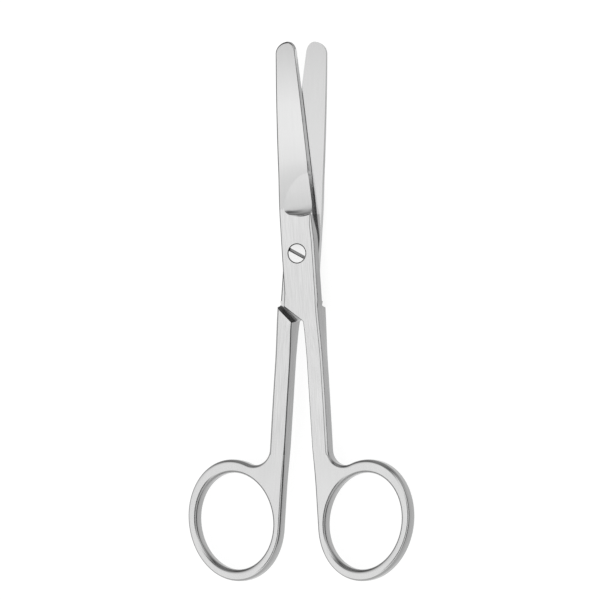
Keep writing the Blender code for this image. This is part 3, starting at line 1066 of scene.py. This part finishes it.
def through_stops(nodes, value, stops):
    """A value read off a line through (place, height) stops; place and height lie within 0 to 1."""
    made = nodes.nodes.new("ShaderNodeValToRGB")
    ramp = made.color_ramp
    ramp.interpolation = "LINEAR"
    while len(ramp.elements) < len(stops):
        ramp.elements.new(1.0)
    for element, (place, height) in zip(ramp.elements, stops):
        element.position = place
        element.color = (height, height, height, 1.0)
    nodes.links.new(value, made.inputs[0])
    return made.outputs[0]


def seen_directly(nodes):
    """1 where the ray comes from the camera, a mirror or a clear surface, and 0 elsewhere."""
    path_node = nodes.nodes.new("ShaderNodeLightPath")
    seen = value_math(nodes, "MAXIMUM", path_node.outputs["Is Camera Ray"],
                      path_node.outputs["Is Glossy Ray"])
    return value_math(nodes, "MAXIMUM", seen, path_node.outputs["Is Transmission Ray"])


def noise(nodes, place, scale, turned_by, detail):
    """Noise whose grain is scale wide along each axis of the surface, turned about z."""
    shift = nodes.nodes.new("ShaderNodeMapping")
    shift.vector_type = "TEXTURE"
    shift.inputs["Rotation"].default_value = (0.0, 0.0, turned_by)
    shift.inputs["Scale"].default_value = scale
    nodes.links.new(place, shift.inputs["Vector"])
    made = nodes.nodes.new("ShaderNodeTexNoise")
    made.inputs["Scale"].default_value = 1.0
    made.inputs["Detail"].default_value = detail
    made.inputs["Roughness"].default_value = noise_roughness
    nodes.links.new(shift.outputs[0], made.inputs["Vector"])
    return made.outputs["Fac"]


def bare_steel(name, finish):
    """A new metal material: its tree, its shader and the place on the object."""
    made = bpy.data.materials.new(name)
    made.use_nodes = True
    nodes = made.node_tree
    shader = nodes.nodes["Principled BSDF"]
    shader.inputs["Metallic"].default_value = 1.0
    shader.inputs["Roughness"].default_value = finish.roughness
    place = nodes.nodes.new("ShaderNodeTexCoord").outputs["Object"]
    return made, shader, place


def set_bump(nodes, shader, height, depth):
    bump = nodes.nodes.new("ShaderNodeBump")
    bump.inputs["Strength"].default_value = 1.0
    bump.inputs["Distance"].default_value = depth
    nodes.links.new(height, bump.inputs["Height"])
    nodes.links.new(bump.outputs["Normal"], shader.inputs["Normal"])


def painted_reflection_along(nodes, place, tone, stops):
    """Painted reflection: varies the grey from the lock to the tip, and paints shade on the inner
    face below the lock."""
    y = split(nodes, place)[1]
    along = value_ramp(nodes, y, pivot.y + blade_start, pivot.y + blade_reach, 0.0, 1.0, "LINEAR")
    painted_reflection = product(nodes, through_stops(nodes, along, stops), painted_reflection_range)
    under_lock = pivot.y - lock_end_line
    kept = value_ramp(nodes, y, under_lock - lock_corner, under_lock, recess_painted_shade, 1.0)
    return product(nodes, product(nodes, tone, painted_reflection), kept)


def painted_side_shade(nodes, tone):
    """Painted shade: darkens the roundings and arrises of the upper faces that face the far end and
    the left.
    """
    x, y, z = split(nodes, nodes.nodes.new("ShaderNodeTexCoord").outputs["Normal"])
    far_kept = value_ramp(nodes, y, *far_facing, 1.0, far_side_painted_shade)
    left_kept = value_ramp(nodes, x, *left_facing, left_side_painted_shade, 1.0)
    lost = rest(nodes, product(nodes, far_kept, left_kept))
    on_arris = value_ramp(nodes, z, *upward_facing, 0.0, 1.0)
    kept = rest(nodes, product(nodes, lost, on_arris))
    return product(nodes, tone, kept)


def spread(nodes, value, centre, share):
    """A grey or roughness that varies about centre by this share of it."""
    return value_ramp(nodes, value, -grain_range, grain_range, centre * (1 - share),
                      centre * (1 + share), "LINEAR")


def brushed_steel(name, finish, along, depth, painted_reflection=None):
    """Steel with a fine grain, whose lines have the size and turn of along, and soft smears. The
    grain fades on the finger rings. Given stops, its grey carries a painted reflection along the
    blade; else painted shade darkens the roundings that face the far end and the left."""
    made, shader, place = bare_steel(name, finish)
    nodes = made.node_tree
    size, angle = along
    lines = noise(nodes, place, size, angle, detail=4.0)
    crossing = noise(nodes, place, size, angle + math.radians(crossing_turn), detail=2.0)
    cloud = noise(nodes, place, (smear, smear * 2, smear), angle, detail=1.0)
    height = value_math(nodes, "ADD", lines, product(nodes, crossing, crossing_share))
    y = split(nodes, place)[1]
    kept = value_ramp(nodes, y, ring_polish_end, ring_polish_start, ring_grain, 1.0)
    streaks = product(nodes, value_math(nodes, "SUBTRACT", lines, noise_mean), kept)
    smears = product(nodes, value_math(nodes, "SUBTRACT", cloud, noise_mean), smear_share)
    varied = value_math(nodes, "ADD", streaks, smears)
    shade = spread(nodes, varied, finish.grey, finish.tone)
    if painted_reflection:
        shade = painted_reflection_along(nodes, place, shade, painted_reflection)
    else:
        shade = painted_side_shade(nodes, shade)
    nodes.links.new(shade, shader.inputs["Base Color"])
    rough = spread(nodes, varied, finish.roughness, -roughness_change)
    nodes.links.new(rough, shader.inputs["Roughness"])
    set_bump(nodes, shader, height, depth)
    return made


def turned_steel(name, finish):
    """Steel faced on a lathe: fine rings about the screw's axis."""
    made, shader, place = bare_steel(name, finish)
    nodes = made.node_tree
    x, y, _ = split(nodes, place)
    aside = [value_math(nodes, "SUBTRACT", x, pivot.x), value_math(nodes, "SUBTRACT", y, pivot.y)]
    squares = [product(nodes, way, way) for way in aside]
    reach = value_math(nodes, "SQRT", value_math(nodes, "ADD", *squares))
    turns = product(nodes, reach, 2 * math.pi / turning_pitch)
    rings = value_math(nodes, "SINE", turns)
    cloud = noise(nodes, place, (grain, grain, grain), 0.0, detail=3.0)
    height = value_math(nodes, "ADD", product(nodes, rings, turning_share), cloud)
    low, high = finish.grey * (1 - finish.tone), finish.grey * (1 + finish.tone)
    shade = value_ramp(nodes, height, *turning_range, low, high, "LINEAR")
    nodes.links.new(shade, shader.inputs["Base Color"])
    set_bump(nodes, shader, height, grain_depth)
    return made


def make_floor():
    """Pale floor; what it lacks to white is added only where it is seen directly."""
    mesh = bmesh.new()
    bmesh.ops.create_grid(mesh, x_segments=1, y_segments=1, size=floor_size)
    bmesh.ops.translate(mesh, verts=mesh.verts, vec=(0.0, 0.0, -floor_gap))
    made = bpy.data.materials.new("floor_white")
    made.use_nodes = True
    shader = made.node_tree.nodes["Principled BSDF"]
    shader.inputs["Base Color"].default_value = (floor_grey, floor_grey, floor_grey, 1.0)
    shader.inputs["Roughness"].default_value = 1.0
    shader.inputs["Specular IOR Level"].default_value = 0.0
    shader.inputs["Emission Color"].default_value = (1.0, 1.0, 1.0, 1.0)
    glow = product(made.node_tree, seen_directly(made.node_tree), floor_glow)
    made.node_tree.links.new(glow, shader.inputs["Emission Strength"])
    mesh_object("floor", mesh, [made])


def make_light():
    """A bright tent over the object, with dark gaps high on the right, low on the right and at the
    far end, and white below the horizon."""
    world = bpy.data.worlds.new("studio")
    bpy.context.scene.world = world
    world.use_nodes = True
    nodes = world.node_tree
    x, y, z = split(nodes, nodes.nodes.new("ShaderNodeTexCoord").outputs["Generated"])
    from_zenith = value_math(nodes, "DIVIDE", value_math(nodes, "ARCCOSINE", z), math.pi)
    turn = value_math(nodes, "DIVIDE", value_math(nodes, "ARCTAN2", y, x), 2 * math.pi)
    bearing = value_math(nodes, "ADD", turn, 0.5)
    toward_far = value_ramp(nodes, y, 0.0, 1.0, 0.0, 1.0, "LINEAR")
    light = tent_light
    for value, gap, bearings in ((from_zenith, right_gap, right_bearings),
                                 (from_zenith, low_gap, low_bearings),
                                 (toward_far, far_gap, far_bearings)):
        missing = rest(nodes, through_stops(nodes, value, gap))
        lost = product(nodes, missing, through_stops(nodes, bearing, bearings))
        light = product(nodes, rest(nodes, lost), light)
    below = value_ramp(nodes, z, -horizon_blend, 0.0, 1.0, 0.0, "LINEAR")
    strength = value_math(nodes, "MAXIMUM", light, below)
    nodes.links.new(strength, nodes.nodes["Background"].inputs["Strength"])
    nodes.nodes["Background"].inputs["Color"].default_value = (1.0, 1.0, 1.0, 1.0)


def make_camera():
    """Square on to the scissors' length, turned about it towards the ring of the upper half."""
    yaw = math.radians(camera_yaw)
    right_of_pivot = (picture_width / 2 - pivot_across) * pixel
    below_pivot = (picture_width / 2 - pivot_down) * pixel
    data = bpy.data.cameras.new("camera")
    data.type = "ORTHO"
    data.ortho_scale = picture_width * pixel
    data.clip_start = 0.01
    data.clip_end = 10.0
    camera = new_object("camera", data)
    toward = Vector((math.sin(yaw), 0.0, math.cos(yaw)))
    across = Vector((math.cos(yaw), 0.0, -math.sin(yaw)))
    aim = pivot + across * right_of_pivot + Vector((0.0, -below_pivot, 0.0))
    camera.location = aim + toward * camera_distance
    camera.rotation_euler = (0.0, yaw, 0.0)
    bpy.context.scene.camera = camera


def main():
    turning = turned_steel("turned_steel", screw_finish)
    upper = make_half("upper_half_finished", False, half_finishes("upper", half_opening))
    lower = make_half("lower_half_finished", True, half_finishes("lower", -half_opening))
    milled = ((slot_width / 3, grain_length, grain), math.radians(slot_angle - 90))
    # Milled steel for the slot, with its dark grey as painted shade
    milled_painted_shade = brushed_steel("slot_steel", slot_painted_shade_finish, milled, grain_depth)
    screw = make_screw("pivot_screw_finished", turning, milled_painted_shade)
    for piece, body, node, slot in ((upper, "upper", "upper_half", "satin_stainless"),
                                    (lower, "lower", "lower_half", "satin_stainless"),
                                    (screw, "lower", "pivot_screw", "bright_stainless")):
        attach(piece, body)
        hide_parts(node)
    make_floor()
    make_light()
    make_camera()
    bpy.context.scene.view_settings.view_transform = "Standard"


main()
